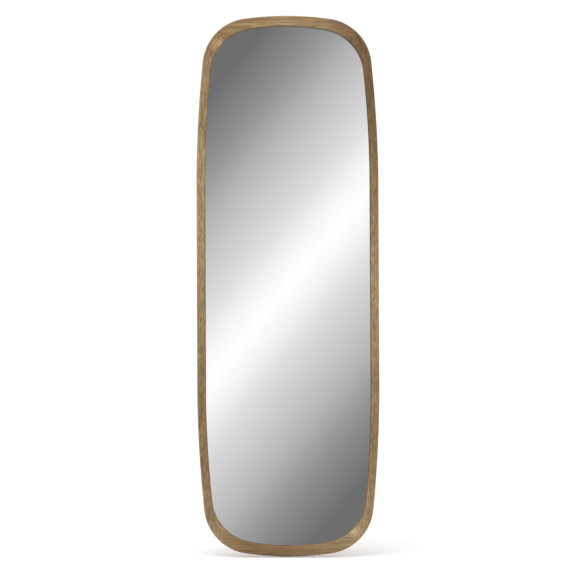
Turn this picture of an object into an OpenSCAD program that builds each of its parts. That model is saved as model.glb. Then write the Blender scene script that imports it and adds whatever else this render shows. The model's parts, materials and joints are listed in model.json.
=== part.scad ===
// Full-length floor mirror: a softly squared timber frame that stands on a
// folding easel hinged to its back, with two rings for hanging it on a wall.
// Millimetres. Z is up, the glass faces -Y, and X runs across the mirror.
// The origin is on the floor, under the middle of the whole standing mirror.
//
// Pieces are drawn on a "board": the mirror stood upright, front face on the
// plane y = 0, lowest point at z = 0. on_board() then leans it back, and
// opened() swings what belongs to the easel out from its folded place.

/* [Stance] */
// Lean of the mirror from upright, in degrees
lean = 8; // [5:0.5:12]
// Angle between the mirror's back and the opened easel, in degrees
easel_open = 16; // [13:0.5:24]

/* [Frame] */
// Width of the frame
frame_w = 605; // [500:1:740]
// Height of the frame
frame_h = 1800; // [1480:1:2200]
// Depth of the frame from front to back
frame_depth = 32; // [28:0.5:45]
// Width of a stile seen from the front
stile_w = 28.5; // [26:0.5:40]
// Width of a rail seen from the front
rail_w = 35; // [30:0.5:46]
// Radius of the slow curve above the straight of a stile
shoulder_r = 4250; // [3800:10:5600]
// Turn of the slow curve, in degrees
shoulder_turn = 5.85; // [4:0.05:6.5]
// Radius of the outer corner
corner_r = 161; // [110:1:175]
// Angle at which the corner runs into the crown, in degrees
crown_start = 81.9; // [76:0.1:84]
// Radius of the slow curve along the edge of the glass
sight_shoulder_r = 3740; // [3200:10:5200]
// Turn of the slow curve along the edge of the glass, in degrees
sight_shoulder_turn = 5.85; // [3.5:0.05:6]
// Radius of the corner of the glass opening
sight_corner_r = 153; // [110:1:165]
// Angle at which the corner of the opening runs into its crown, in degrees
sight_crown_start = 79.3; // [76:0.1:83]

/* [Glass and back] */
// Thickness of the mirror glass
glass_t = 5; // [3:0.5:6]
// Thickness of the safety film on the back of the glass
film_t = 0.4; // [0.2:0.1:0.6]
// Thickness of the foam between the film and the backboard
foam_t = 1.6; // [1:0.1:4]
// Thickness of the backboard
board_t = 6; // [4:0.5:9]
// Width of glass hidden behind the frame
glass_lap = 7; // [5:0.5:9]
// Width of the shoulder that the backboard lies on
board_lap = 9; // [8:0.5:11]
// Space around the glass
glass_gap = 1.5; // [0.5:0.1:3]
// Space around the backboard
board_gap = 0.5; // [0.2:0.1:1]
// Distance from the middle to a setting block under the glass
setting_x = 90; // [60:1:110]
// Length of a setting block
setting_len = 30; // [15:1:35]

/* [Mitre keys] */
// Length of a key across the mitre
key_len = 40; // [25:1:60]
// Width of a key along the mitre
key_w = 20; // [12:1:24]
// Thickness of a key
key_t = 4; // [3:0.5:6]

/* [Hinge batten] */
// Distance from the top of the frame down to the hinge line
hinge_drop = 550; // [450:1:660]
// Thickness of the batten
batten_t = 24; // [22:0.5:30]
// Height of the batten
batten_h = 60; // [50:1:80]
// Length of batten past its outer screws
batten_end = 8; // [5:0.5:10]
// Distance from the edge of the batten to its screws
batten_screw_in = 14; // [10:0.5:20]

/* [Easel] */
// Distance from the middle to the middle of a leg
leg_x = 150; // [125:1:180]
// Width of a leg
leg_w = 34; // [28:1:45]
// Thickness of a leg and of the easel rails
leg_t = 18; // [15:0.5:19]
// Height of the easel's top rail
top_rail_h = 60; // [50:1:80]
// Height of the lower easel rails
low_rail_h = 45; // [35:1:60]
// Height of the middle rail above the floor end, folded
middle_rail_up = 770; // [600:1:800]
// Height of the lower rail above the floor end, folded
lower_rail_up = 302; // [296:1:420]
// Radius on the long edges of the easel timber
edge_r = 3; // [1:0.5:5]
// Thickness of a rubber foot
foot_t = 8; // [5:0.5:14]
// Radius of a dowel
dowel_r = 4; // [3:0.5:5]
// Length of a dowel
dowel_len = 40; // [30:1:50]

/* [Hinges] */
// Distance from the middle to the middle of a hinge
hinge_x = 92; // [70:1:105]
// Length of a hinge along its pin
hinge_len = 50; // [40:1:60]
// Depth of a leaf from the hinge line
leaf_w = 25; // [20:0.5:30]
// Thickness of a leaf
leaf_t = 2; // [1.5:0.1:2.5]
// Outer radius of a knuckle
knuckle_r = 4.5; // [4:0.1:5.5]
// Radius of a hinge pin
pin_r = 2.2; // [1.8:0.1:2.6]
// Space between the pin and the knuckles it turns in
pin_gap = 0.05; // [0.02:0.01:0.08]
// Space between neighbouring knuckles
knuckle_gap = 0.4; // [0.3:0.1:0.8]
// Space left between the batten and the easel at the hinge line
wood_gap = 4; // [3:0.5:6]

/* [Restraint strap] */
// Width of the webbing
strap_w = 25; // [20:1:30]
// Thickness of the webbing
strap_t = 1.5; // [1:0.1:2]
// Length of webbing under a clamp plate
strap_tab = 16; // [12:1:20]
// Height of the anchor block's middle above the bottom of the frame
block_up = 262; // [220:1:268]
// Height of the anchor block
block_h = 50; // [40:1:54]
// Width of the anchor block
block_w = 90; // [70:1:120]
// Thickness of the anchor block
block_t = 14; // [12:0.5:16]
// Length of a clamp plate
clamp_len = 50; // [45:1:60]
// Thickness of a clamp plate
clamp_t = 1.5; // [1:0.1:2]

/* [Small parts] */
// Distance from the middle to a floor bumper
bumper_x = 95; // [60:1:115]
// Radius of a floor bumper
bumper_r = 8; // [6:0.5:10]
// Clearance of the frame's lowest edge above the floor
floor_gap = 1; // [0.5:0.1:3]
// Height of a fold pad above the bottom of the frame
pad_up = 160; // [120:1:250]
// Radius of a fold pad
pad_r = 9; // [6:0.5:12]
// Spacing of the backboard screws
screw_pitch = 142; // [120:1:170]
// Distance from the batten to the nearest backboard screw
screw_margin = 16; // [12:1:20]
// Space around screws, dowels and keys
fit_gap = 0.05; // [0.02:0.01:0.1]

/* [Hanging rings] */
// Width of a hanger plate
hanger_w = 12; // [10:0.5:14]
// Length of a hanger plate
hanger_len = 34; // [32:1:45]
// Thickness of a hanger plate
hanger_t = 1.2; // [1:0.1:1.5]
// Radius of the ring's wire
wire_r = 1.5; // [1.2:0.1:1.6]
// Half the width of the ring, to the middle of its wire
ring_r = 8; // [7:0.5:9]
// Straight length of the ring's sides
ring_side = 4; // [3:0.5:6]
// Outer radius of the eye that holds the ring
eye_r = 2.8; // [2.6:0.1:3.2]
// Length of the eye
eye_len = 8; // [6:0.5:10]

/* [Hidden] */
$fn = 48;
left = -1;
right = 1;
// Overshoot of a cutting shape past the face it cuts
past = 1;

// Depths on the board, measured back from the front face
step_y = frame_depth - board_t;
lip_y = step_y - foam_t - film_t - glass_t;
wood_y = frame_depth + batten_t;
axis_y = wood_y + knuckle_r;
// Heights on the board
hinge_z = frame_h - hinge_drop;
batten_z = hinge_z + wood_gap / 2;
easel_top_z = hinge_z - wood_gap / 2;
mid_z = frame_h / 2;
// Lift that clears the lowest edge of the leaning frame
floor_lift = frame_depth * sin(lean) + floor_gap;

// The hinge line once the mirror leans, and the stance on the floor
tilt = easel_open - lean;
hinge_back = axis_y * cos(lean) + hinge_z * sin(lean);
hinge_up = hinge_z * cos(lean) - axis_y * sin(lean) + floor_lift;
base_depth = hinge_back - knuckle_r * cos(tilt)
    + (hinge_up - knuckle_r * sin(tilt)) * tan(tilt);
leg_reach = hinge_up / cos(tilt) + leg_t;

// An outline is [half width, half height, shoulder radius, shoulder turn,
// corner radius, crown start]. Its straight and its crown follow from these.
outer = [frame_w / 2, frame_h / 2, shoulder_r, shoulder_turn, corner_r, crown_start];
sight = [frame_w / 2 - stile_w, frame_h / 2 - rail_w, sight_shoulder_r,
    sight_shoulder_turn, sight_corner_r, sight_crown_start];
function grown(o, by) = [o[0] + by, o[1] + by, o[2] + by, o[3], o[4] + by, o[5]];
function crown_r(o) = (o[0] - o[2] * (1 - cos(o[3]))
    - o[4] * (cos(o[3]) - cos(o[5]))) / cos(o[5]);
function straight(o) = o[1] - o[2] * sin(o[3]) - o[4] * (sin(o[5]) - sin(o[3]))
    - crown_r(o) * (1 - sin(o[5]));
function corner_middle(o) = [
    o[0] - o[2] * (1 - cos(o[3])) - o[4] * cos(o[3]),
    straight(o) + (o[2] - o[4]) * sin(o[3])
];
function arc(middle, r, from, to, steps) = [
    for (i = [0:steps]) let (a = from + (to - from) * i / steps)
        middle + r * [cos(a), sin(a)]
];
function quarter(o) = concat(
    arc([o[0] - o[2], straight(o)], o[2], 0, o[3], 8),
    [for (i = [1:18]) arc(corner_middle(o), o[4], o[3], o[5], 18)[i]],
    [for (i = [1:6]) arc([0, o[1] - crown_r(o)], crown_r(o), o[5], 90, 6)[i]]
);
function turned(points, sx, sz) = [
    for (i = [len(points) - 2:-1:0]) [sx * points[i][0], sz * points[i][1]]
];
function outline(o) = let (q = quarter(o)) concat(
    q, turned(q, -1, 1), -q, turned(q, 1, -1)
);
// Where an outline lies at a height on the board, and at a distance across it
function side_x(o, z) = let (up = max(0, abs(z - mid_z) - straight(o)))
    o[0] - o[2] + sqrt(o[2] * o[2] - up * up);
function crown_z(o, x) = o[1] - crown_r(o) + sqrt(crown_r(o) * crown_r(o) - x * x);

glass_seat = grown(sight, glass_lap);
board_seat = grown(sight, glass_lap + board_lap);
// The line of screws along the middle of the backboard's shoulder
screw_line = grown(sight, glass_lap + board_lap / 2);

// Backboard screws run up and down from the batten to where the corners begin
run_end = straight(sight) + sight_shoulder_r * sin(sight_shoulder_turn);
side_screws = concat(
    [for (z = [batten_z + batten_h + screw_margin:screw_pitch:mid_z + run_end]) z],
    [for (z = [batten_z - screw_margin:-screw_pitch:mid_z - run_end]) z]
);
// The hanging rings sit midway between the first two screws above the batten
ring_z = batten_z + batten_h + screw_margin + screw_pitch / 2;
ring_x = side_x(screw_line, ring_z);
ring_y = frame_depth + eye_r;
ring_back = ring_y * cos(lean) + ring_z * sin(lean) - base_depth / 2;
ring_up = ring_z * cos(lean) - ring_y * sin(lean) + floor_lift;

// Screws: shank radius, head radius, length under the surface
board_screw = [1.6, 3.2, 18];
batten_screw = [2.1, 4.2, 40];
leaf_screw = [1.5, 3, 14];
hanger_screw = [1.5, 3, 16];
clamp_screw = [1.3, 2.6, 11];

// Easel rails: height of the lower edge, and height of the rail
top_rail = [easel_top_z - top_rail_h, top_rail_h];
middle_rail = [middle_rail_up, low_rail_h];
lower_rail = [lower_rail_up, low_rail_h];
rails = [top_rail, middle_rail, lower_rail];
rail_span = 2 * leg_x - leg_w;
dowel_in = 12;

// The strap leaves the block just above its clamp, and the rail just below its own
strap_ease = 0.5;
strap_give = 0.04;
strap_lie = strap_tab + 2 * (strap_ease + strap_t);
rail_front_y = wood_y - leg_t;

// Timber, metal and rubber
oak = [0.62, 0.49, 0.33];
pine = [0.80, 0.66, 0.46];
mdf = [0.55, 0.44, 0.33];
steel = [0.72, 0.72, 0.70];
dark = [0.16, 0.16, 0.16];

// ---- Placing -------------------------------------------------------------

module on_board() {
    translate([0, -base_depth / 2, floor_lift]) rotate([-lean, 0, 0]) children();
}

module opened() {
    translate([0, axis_y, hinge_z]) rotate([easel_open, 0, 0])
        translate([0, -axis_y, -hinge_z]) children();
}

module on_easel() {
    on_board() opened() children();
}

// A flat shape drawn about the middle of the mirror, standing between two depths
module slab(front, back) {
    translate([0, back, mid_z]) rotate([90, 0, 0]) linear_extrude(back - front) children();
}

// ---- Shapes used more than once ------------------------------------------

module soft_rectangle(w, h, r) {
    square([w - 2 * r, h], center = true);
    square([w, h - 2 * r], center = true);
    for (x = [-1, 1], y = [-1, 1])
        translate([x * (w / 2 - r), y * (h / 2 - r)]) circle(r);
}

// A bar along Z, with its lower end's middle at the origin
module upright_bar(w, t, length) {
    linear_extrude(length) soft_rectangle(w, t, edge_r);
}

// A bar along X, with its middle at the origin
module cross_bar(h, t, length) {
    rotate([0, 90, 0]) translate([0, 0, -length / 2])
        linear_extrude(length) soft_rectangle(h, t, edge_r);
}

// A countersunk screw driven forwards from the origin, or the hole it leaves
module screw(size, spare = 0) {
    shank = size[0] + spare;
    head = size[1] + spare;
    rotate([90, 0, 0]) difference() {
        union() {
            cylinder(r1 = head, r2 = shank, h = head - shank);
            cylinder(r = shank, h = size[2] + spare);
        }
        if (spare == 0) drive_recess(size[1]);
    }
}

module drive_recess(head) {
    for (turn = [0, 90]) rotate(turn)
        cube([head * 1.1, head * 0.26, head * 0.5], center = true);
}

// ---- Timber frame --------------------------------------------------------

module ring_section() {
    difference() {
        polygon(outline(outer));
        polygon(outline(sight));
    }
}

// The mitres run out at 45 degrees through the middle of each corner's curve
module stile_field(side) {
    m = corner_middle(outer);
    reach = frame_w;
    scale([side, 1]) polygon([m, m + [reach, reach], [m[0] + reach, -m[1] - reach], [m[0], -m[1]]]);
}

module rail_field(end) {
    m = corner_middle(outer);
    reach = frame_w;
    scale([1, end]) polygon([m, m + [reach, reach], [-m[0] - reach, m[1] + reach], [-m[0], m[1]]]);
}

module frame_member() {
    difference() {
        slab(0, frame_depth) intersection() {
            ring_section();
            children();
        }
        slab(lip_y, frame_depth + past) polygon(outline(glass_seat));
        slab(step_y, frame_depth + past) polygon(outline(board_seat));
        key_places(fit_gap);
    }
}

module stile(side) {
    difference() {
        frame_member() stile_field(side);
        side_board_screws(side, fit_gap);
        batten_screw_places(side, fit_gap);
        hanger_screw_places(side, fit_gap);
    }
}

module rail(end) {
    difference() {
        frame_member() rail_field(end);
        end_board_screws(end, fit_gap);
    }
}

module key_places(spare = 0) {
    out = corner_middle(outer) + corner_r * [cos(45), sin(45)];
    in = corner_middle(sight) + sight_corner_r * [cos(45), sin(45)];
    middle = (out + in) / 2;
    for (sx = [-1, 1], sz = [-1, 1])
        translate([sx * middle[0], lip_y / 2, mid_z + sz * middle[1]])
            rotate([0, -sx * sz * 45, 0])
                cube([key_w + 2 * spare, key_t + 2 * spare, key_len + 2 * spare], center = true);
}

module left_stile() { color(oak) on_board() stile(left); }
module right_stile() { color(oak) on_board() stile(right); }
module top_rail() { color(oak) on_board() rail(1); }
module bottom_rail() { color(oak) on_board() rail(-1); }
module mitre_keys() { color(pine) on_board() key_places(); }

// ---- Glass, film, foam and backboard --------------------------------------

module mirror_glass() {
    color([0.8, 0.83, 0.84]) on_board() slab(lip_y, lip_y + glass_t)
        polygon(outline(grown(glass_seat, -glass_gap)));
}

module safety_film() {
    color([0.75, 0.75, 0.78]) on_board() slab(lip_y + glass_t, lip_y + glass_t + film_t)
        polygon(outline(grown(glass_seat, -glass_gap)));
}

module foam_sheet() {
    color([0.92, 0.92, 0.9]) on_board() slab(step_y - foam_t, step_y)
        polygon(outline(grown(glass_seat, -glass_gap)));
}

// Two rubber blocks fill the space under the lower edge of the glass
module setting_blocks() {
    color(dark) on_board() slab(lip_y, lip_y + glass_t) intersection() {
        difference() {
            polygon(outline(glass_seat));
            polygon(outline(grown(glass_seat, -glass_gap)));
        }
        for (side = [-1, 1]) translate([side * setting_x, -frame_h / 2])
            square([setting_len, 4 * rail_w], center = true);
    }
}

module backboard() {
    color(mdf) on_board() difference() {
        slab(step_y, frame_depth) polygon(outline(grown(board_seat, -board_gap)));
        for (side = [left, right]) {
            side_board_screws(side, fit_gap);
            batten_screw_places(side, fit_gap);
            hanger_screw_places(side, fit_gap);
        }
        for (end = [-1, 1]) end_board_screws(end, fit_gap);
    }
}

module side_board_screws(side, spare = 0) {
    for (z = side_screws)
        translate([side * side_x(screw_line, z), frame_depth, z]) screw(board_screw, spare);
}

module end_board_screws(end, spare = 0) {
    for (side = [-1, 1])
        translate([side * setting_x, frame_depth, mid_z + end * crown_z(screw_line, setting_x)])
            screw(board_screw, spare);
}

module backboard_screws() {
    color(steel) on_board() {
        for (side = [left, right]) side_board_screws(side);
        for (end = [-1, 1]) end_board_screws(end);
    }
}

// Clear bumpers stand the crowned bottom rail level on the floor
module floor_bumpers() {
    color([0.9, 0.92, 0.92]) difference() {
        for (side = [-1, 1]) translate([
            side * bumper_x,
            frame_depth / 2 * cos(lean) - base_depth / 2,
            0
        ]) cylinder(r = bumper_r, h = frame_depth);
        on_board() slab(-frame_depth, 2 * frame_depth) polygon(outline(outer));
    }
}

// Felt pads that the folded legs lie against
module fold_pads() {
    color(dark) on_board() for (side = [-1, 1])
        translate([side * leg_x, frame_depth, pad_up]) rotate([-90, 0, 0])
            cylinder(r = pad_r, h = batten_t - leg_t - knuckle_gap);
}

// ---- Hinge batten and hinges ----------------------------------------------

module hinge_batten() {
    half = side_x(screw_line, batten_z + batten_h / 2) + batten_end;
    color(pine) on_board() difference() {
        translate([0, frame_depth + batten_t / 2, batten_z + batten_h / 2])
            cross_bar(batten_h, batten_t, 2 * half);
        for (side = [left, right]) {
            batten_screw_places(side, fit_gap);
            leaf_screw_places(side, 1, fit_gap);
        }
    }
}

module batten_screw_places(side, spare = 0) {
    for (z = [batten_z + batten_screw_in, batten_z + batten_h - batten_screw_in])
        translate([side * side_x(screw_line, z), wood_y, z]) screw(batten_screw, spare);
}

module batten_screws() {
    color(steel) on_board() for (side = [left, right]) batten_screw_places(side);
}

// Five knuckles along the pin: the batten leaf has three, the easel leaf two.
// Drawn about the pin, with way = 1 for the leaf above it and -1 for the one below.
module leaf(way) {
    share = hinge_len / 5;
    mine = way == 1 ? [0, 2, 4] : [1, 3];
    other = way == 1 ? [1, 3] : [0, 2, 4];
    cut = knuckle_r + knuckle_gap;
    difference() {
        union() {
            translate([-hinge_len / 2, -knuckle_r, way == 1 ? 0 : -leaf_w])
                cube([hinge_len, leaf_t, leaf_w]);
            for (k = mine) translate([-hinge_len / 2 + k * share + knuckle_gap / 2, 0, 0])
                rotate([0, 90, 0]) cylinder(r = knuckle_r, h = share - knuckle_gap);
        }
        for (k = other) translate([
            -hinge_len / 2 + k * share - knuckle_gap / 2, -knuckle_r - past, -cut
        ]) cube([share + knuckle_gap, 2 * knuckle_r + 2 * past, 2 * cut]);
        translate([-hinge_len, 0, 0]) rotate([0, 90, 0])
            cylinder(r = pin_r + pin_gap, h = 2 * hinge_len);
    }
}

module leaf_screw_places(side, way, spare = 0) {
    for (dx = [-0.36, 0, 0.36])
        translate([
            side * hinge_x + dx * hinge_len,
            wood_y + leaf_t,
            hinge_z + way * (leaf_w - (dx == 0 ? 12 : 7))
        ]) screw(leaf_screw, spare);
}

module hinge_leaf(side, way) {
    difference() {
        translate([side * hinge_x, axis_y, hinge_z]) leaf(way);
        leaf_screw_places(side, way, fit_gap);
    }
}

module hinge_pin(side) {
    head_t = 1.2;
    translate([side * hinge_x - hinge_len / 2 - head_t, axis_y, hinge_z]) rotate([0, 90, 0]) {
        cylinder(r = pin_r, h = hinge_len + 2 * head_t);
        cylinder(r = pin_r + 1, h = head_t);
        translate([0, 0, hinge_len + head_t]) cylinder(r = pin_r + 1, h = head_t);
    }
}

module left_batten_leaf() { color(steel) on_board() hinge_leaf(left, 1); }
module right_batten_leaf() { color(steel) on_board() hinge_leaf(right, 1); }
module left_easel_leaf() { color(steel) on_easel() hinge_leaf(left, -1); }
module right_easel_leaf() { color(steel) on_easel() hinge_leaf(right, -1); }
module left_hinge_pin() { color(steel) on_board() hinge_pin(left); }
module right_hinge_pin() { color(steel) on_board() hinge_pin(right); }

module batten_leaf_screws() {
    color(steel) on_board() for (side = [left, right]) leaf_screw_places(side, 1);
}

module easel_leaf_screws() {
    color(steel) on_easel() for (side = [left, right]) leaf_screw_places(side, -1);
}

// ---- Easel ----------------------------------------------------------------

module dowel_places(spare = 0) {
    for (r = rails, side = [-1, 1], z = [r[0] + dowel_in, r[0] + r[1] - dowel_in])
        translate([side * rail_span / 2, wood_y - leg_t / 2, z]) rotate([0, 90, 0])
            cylinder(r = dowel_r + spare, h = dowel_len + 2 * spare, center = true);
}

// A leg without its foot, cut off level with the floor at a height
module leg_between(side, low, high) {
    intersection() {
        on_easel() difference() {
            translate([side * leg_x, wood_y - leg_t / 2, easel_top_z - leg_reach])
                upright_bar(leg_w, leg_t, leg_reach);
            dowel_places(fit_gap);
        }
        translate([-frame_w, -frame_h, low]) cube([2 * frame_w, 2 * frame_h, high - low]);
    }
}

module easel_rail(r) {
    difference() {
        translate([0, wood_y - leg_t / 2, r[0] + r[1] / 2]) cross_bar(r[1], leg_t, rail_span);
        dowel_places(fit_gap);
        children();
    }
}

module left_leg() { color(pine) leg_between(left, foot_t, frame_h); }
module right_leg() { color(pine) leg_between(right, foot_t, frame_h); }
module left_foot() { color(dark) leg_between(left, 0, foot_t); }
module right_foot() { color(dark) leg_between(right, 0, foot_t); }

module easel_top_rail() {
    color(pine) on_easel() easel_rail(top_rail)
        for (side = [left, right]) leaf_screw_places(side, -1, fit_gap);
}

module easel_middle_rail() { color(pine) on_easel() easel_rail(middle_rail); }
module easel_lower_rail() { color(pine) on_easel() easel_rail(lower_rail) rail_clamp_screw_places(fit_gap); }
module easel_dowels() { color(oak) on_easel() dowel_places(); }

// ---- Restraint strap ------------------------------------------------------

module anchor_block() {
    color(pine) on_board() difference() {
        translate([0, frame_depth + block_t / 2, block_up]) cross_bar(block_h, block_t, block_w);
        anchor_clamp_screw_places(fit_gap);
    }
}

// A clamp plate over the end of the webbing, which lies flat behind it
module clamp_plate() {
    translate([-clamp_len / 2, 0, -strap_tab / 2]) difference() {
        cube([clamp_len, strap_t + clamp_t, strap_tab]);
        translate([(clamp_len - strap_w) / 2, -past, -past])
            cube([strap_w, strap_t + past, strap_tab + 2 * past]);
    }
}

module clamp_screw_pair(spare = 0) {
    for (side = [-1, 1])
        translate([side * (clamp_len + strap_w) / 4, strap_t + clamp_t, 0])
            screw(clamp_screw, spare);
}

module anchor_clamp_screw_places(spare = 0) {
    translate([0, frame_depth + block_t, block_up]) clamp_screw_pair(spare);
}

module rail_clamp_screw_places(spare = 0) {
    translate([0, rail_front_y, lower_rail_up + low_rail_h / 2])
        rotate([0, 0, 180]) clamp_screw_pair(spare);
}

module anchor_clamp() {
    color(steel) on_board() difference() {
        translate([0, frame_depth + block_t, block_up]) clamp_plate();
        anchor_clamp_screw_places(fit_gap);
    }
}

module rail_clamp() {
    color(steel) on_easel() difference() {
        translate([0, rail_front_y, lower_rail_up + low_rail_h / 2])
            rotate([0, 0, 180]) clamp_plate();
        rail_clamp_screw_places(fit_gap);
    }
}

module anchor_clamp_screws() { color(steel) on_board() anchor_clamp_screw_places(); }
module rail_clamp_screws() { color(steel) on_easel() rail_clamp_screw_places(); }

// Where a point of the folded easel comes to when the easel is opened
function opened_point(y, z) = [
    axis_y + (y - axis_y) * cos(easel_open) - (z - hinge_z) * sin(easel_open),
    hinge_z + (y - axis_y) * sin(easel_open) + (z - hinge_z) * cos(easel_open)
];

// Webbing drawn tight from the block to the rail, with a tab flat under each clamp
module restraint_strap() {
    block_y = frame_depth + block_t;
    rail_mid = lower_rail_up + low_rail_h / 2;
    leave = strap_tab / 2 + strap_ease;
    // The webbing gives a hair where it is pressed between the rail and its clamp
    rail_side = rail_front_y - strap_give;
    clamp_side = rail_front_y - strap_t + strap_give;
    side_view = [
        [block_y, block_up - strap_lie / 2],
        [block_y + strap_t, block_up - strap_lie / 2],
        [block_y + strap_t, block_up + leave],
        opened_point(rail_side, rail_mid - strap_lie / 2),
        opened_point(rail_side, rail_mid + strap_lie / 2),
        opened_point(clamp_side, rail_mid + strap_lie / 2),
        opened_point(clamp_side, rail_mid - leave),
        [block_y, block_up + strap_lie / 2]
    ];
    color([0.85, 0.83, 0.76]) on_board() rotate([90, 0, 90])
        linear_extrude(strap_w, center = true) polygon(side_view);
}

// ---- Hanging rings --------------------------------------------------------

module hanger_screw_places(side, spare = 0) {
    for (down = [hanger_len - 16, hanger_len - 7])
        translate([side * ring_x, frame_depth + hanger_t, ring_z - down])
            screw(hanger_screw, spare);
}

module hanger_plate(side) {
    difference() {
        union() {
            translate([side * ring_x - hanger_w / 2, frame_depth, ring_z - hanger_len])
                cube([hanger_w, hanger_t, hanger_len - eye_r]);
            translate([side * ring_x - eye_len / 2, frame_depth, ring_z - 2 * eye_r])
                cube([eye_len, hanger_t, 2 * eye_r]);
            translate([side * ring_x - eye_len / 2, ring_y, ring_z]) rotate([0, 90, 0])
                cylinder(r = eye_r, h = eye_len);
        }
        translate([side * ring_x - hanger_w, ring_y, ring_z]) rotate([0, 90, 0])
            cylinder(r = wire_r + pin_gap, h = 2 * hanger_w);
        hanger_screw_places(side, fit_gap);
    }
}

// The ring hangs straight down from its eye, whatever the lean of the mirror
module hanging_ring(side) {
    translate([side * ring_x, ring_back, ring_up]) {
        rotate([0, 90, 0]) cylinder(r = wire_r, h = 2 * ring_r, center = true);
        for (x = [-1, 1]) {
            translate([x * ring_r, 0, -ring_side]) cylinder(r = wire_r, h = ring_side);
            translate([x * ring_r, 0, 0]) sphere(wire_r);
        }
        translate([0, 0, -ring_side]) rotate([-90, 0, 0])
            rotate_extrude(angle = 180) translate([ring_r, 0]) circle(wire_r);
    }
}

module left_hanger_plate() { color(steel) on_board() hanger_plate(left); }
module right_hanger_plate() { color(steel) on_board() hanger_plate(right); }
module left_hanging_ring() { color(steel) hanging_ring(left); }
module right_hanging_ring() { color(steel) hanging_ring(right); }

module hanger_screws() {
    color(steel) on_board() for (side = [left, right]) hanger_screw_places(side);
}

// ---- Assembly -------------------------------------------------------------

left_stile();
right_stile();
top_rail();
bottom_rail();
mitre_keys();
mirror_glass();
safety_film();
foam_sheet();
setting_blocks();
backboard();
backboard_screws();
floor_bumpers();
fold_pads();
hinge_batten();
batten_screws();
left_batten_leaf();
right_batten_leaf();
left_hinge_pin();
right_hinge_pin();
batten_leaf_screws();
anchor_block();
anchor_clamp();
anchor_clamp_screws();
left_hanger_plate();
right_hanger_plate();
hanger_screws();
left_hanging_ring();
right_hanging_ring();
restraint_strap();
left_leg();
right_leg();
easel_top_rail();
easel_middle_rail();
easel_lower_rail();
easel_dowels();
left_easel_leaf();
right_easel_leaf();
easel_leaf_screws();
rail_clamp();
rail_clamp_screws();
left_foot();
right_foot();
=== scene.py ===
# %% [markdown]
# # A tall mirror in a softly squared oak frame
#
# The object is a full-length mirror. Four mitred oak boards hold the glass, and a folding easel of
# pale timber props it up from behind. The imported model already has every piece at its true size
# and place. These cells keep it as a fixed frame and give it its looks: softened edges on the
# oak, woven tape for the strap, felt, rubber, plated steel, and the grain of each timber.

# %% Load the fixed frame
import json
import math
import bpy
from mathutils import Matrix, Quaternion, Vector

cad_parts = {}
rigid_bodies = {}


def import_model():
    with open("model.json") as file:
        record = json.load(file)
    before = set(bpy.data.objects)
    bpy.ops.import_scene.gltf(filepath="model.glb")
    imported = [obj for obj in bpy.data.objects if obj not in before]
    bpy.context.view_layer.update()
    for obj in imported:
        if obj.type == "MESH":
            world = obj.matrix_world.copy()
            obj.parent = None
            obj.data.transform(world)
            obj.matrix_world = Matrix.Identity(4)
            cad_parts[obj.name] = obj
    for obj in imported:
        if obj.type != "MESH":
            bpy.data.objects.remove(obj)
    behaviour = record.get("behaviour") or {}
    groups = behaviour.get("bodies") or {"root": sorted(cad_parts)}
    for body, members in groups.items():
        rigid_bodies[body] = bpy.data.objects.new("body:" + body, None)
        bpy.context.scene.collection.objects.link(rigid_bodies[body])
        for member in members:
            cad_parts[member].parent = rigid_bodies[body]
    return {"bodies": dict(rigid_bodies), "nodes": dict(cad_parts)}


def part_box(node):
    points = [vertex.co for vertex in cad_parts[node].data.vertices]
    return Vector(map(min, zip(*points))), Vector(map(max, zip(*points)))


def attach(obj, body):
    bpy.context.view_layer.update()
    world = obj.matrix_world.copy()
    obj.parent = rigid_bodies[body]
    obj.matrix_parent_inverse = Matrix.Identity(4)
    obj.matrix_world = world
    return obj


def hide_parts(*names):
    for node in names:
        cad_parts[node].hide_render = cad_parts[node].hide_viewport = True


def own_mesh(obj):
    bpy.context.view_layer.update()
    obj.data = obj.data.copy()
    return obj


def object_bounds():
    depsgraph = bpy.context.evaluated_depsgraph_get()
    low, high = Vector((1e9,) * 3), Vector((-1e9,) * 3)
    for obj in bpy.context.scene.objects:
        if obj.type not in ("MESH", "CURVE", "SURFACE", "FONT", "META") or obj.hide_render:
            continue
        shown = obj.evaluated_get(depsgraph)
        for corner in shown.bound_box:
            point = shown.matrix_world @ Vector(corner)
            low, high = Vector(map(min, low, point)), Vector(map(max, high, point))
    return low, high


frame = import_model()
NODES = frame["nodes"]
BODIES = frame["bodies"]
for thing in list(bpy.data.objects):
    if thing.name not in NODES and thing not in BODIES.values():
        bpy.data.objects.remove(thing)
cad_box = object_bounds()
print("nodes:", len(NODES), "bodies:", sorted(BODIES))
print("box in mm:", [round((b - a) * 1000, 1) for a, b in zip(*cad_box)])

# %% [markdown]
# ## How far the mirror leans
#
# The mirror stands a few degrees off upright. The grain, the bevels and the camera all need that
# lean. It could be typed in, but then it would be wrong as soon as the model changed. So it is
# measured on the glass: its widest faces look straight out of the mirror, and their normal gives
# the angle. Three directions follow from it: out of the mirror, up along it, and back through it.

# %% Measure the lean on the glass
facing = max(NODES["mirror_glass"].data.polygons, key=lambda face: face.area * (face.normal.y < 0))
LEAN = math.atan2(facing.normal.z, -facing.normal.y)
OUT = Vector((0, -math.cos(LEAN), math.sin(LEAN)))
UP = Vector((0, math.sin(LEAN), math.cos(LEAN)))
print("lean in degrees:", round(math.degrees(LEAN), 2))


# %% Measure the frame along those directions
def reach(names, direction):
    """The least and the greatest distance of these nodes along a direction."""
    along = [v.co.dot(direction) for name in names for v in NODES[name].data.vertices]
    return min(along), max(along)


BOARDS = ["left_stile", "right_stile", "top_rail", "bottom_rail"]
LOW, HIGH = reach(BOARDS, UP)
FRONT = reach(BOARDS, OUT)[1]
MIDDLE = (LOW + HIGH) / 2
HALF_WIDTH = cad_box[1].x
CENTRE = OUT * FRONT + UP * MIDDLE
print("height along the mirror in mm:", round((HIGH - LOW) * 1000, 1))

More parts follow.
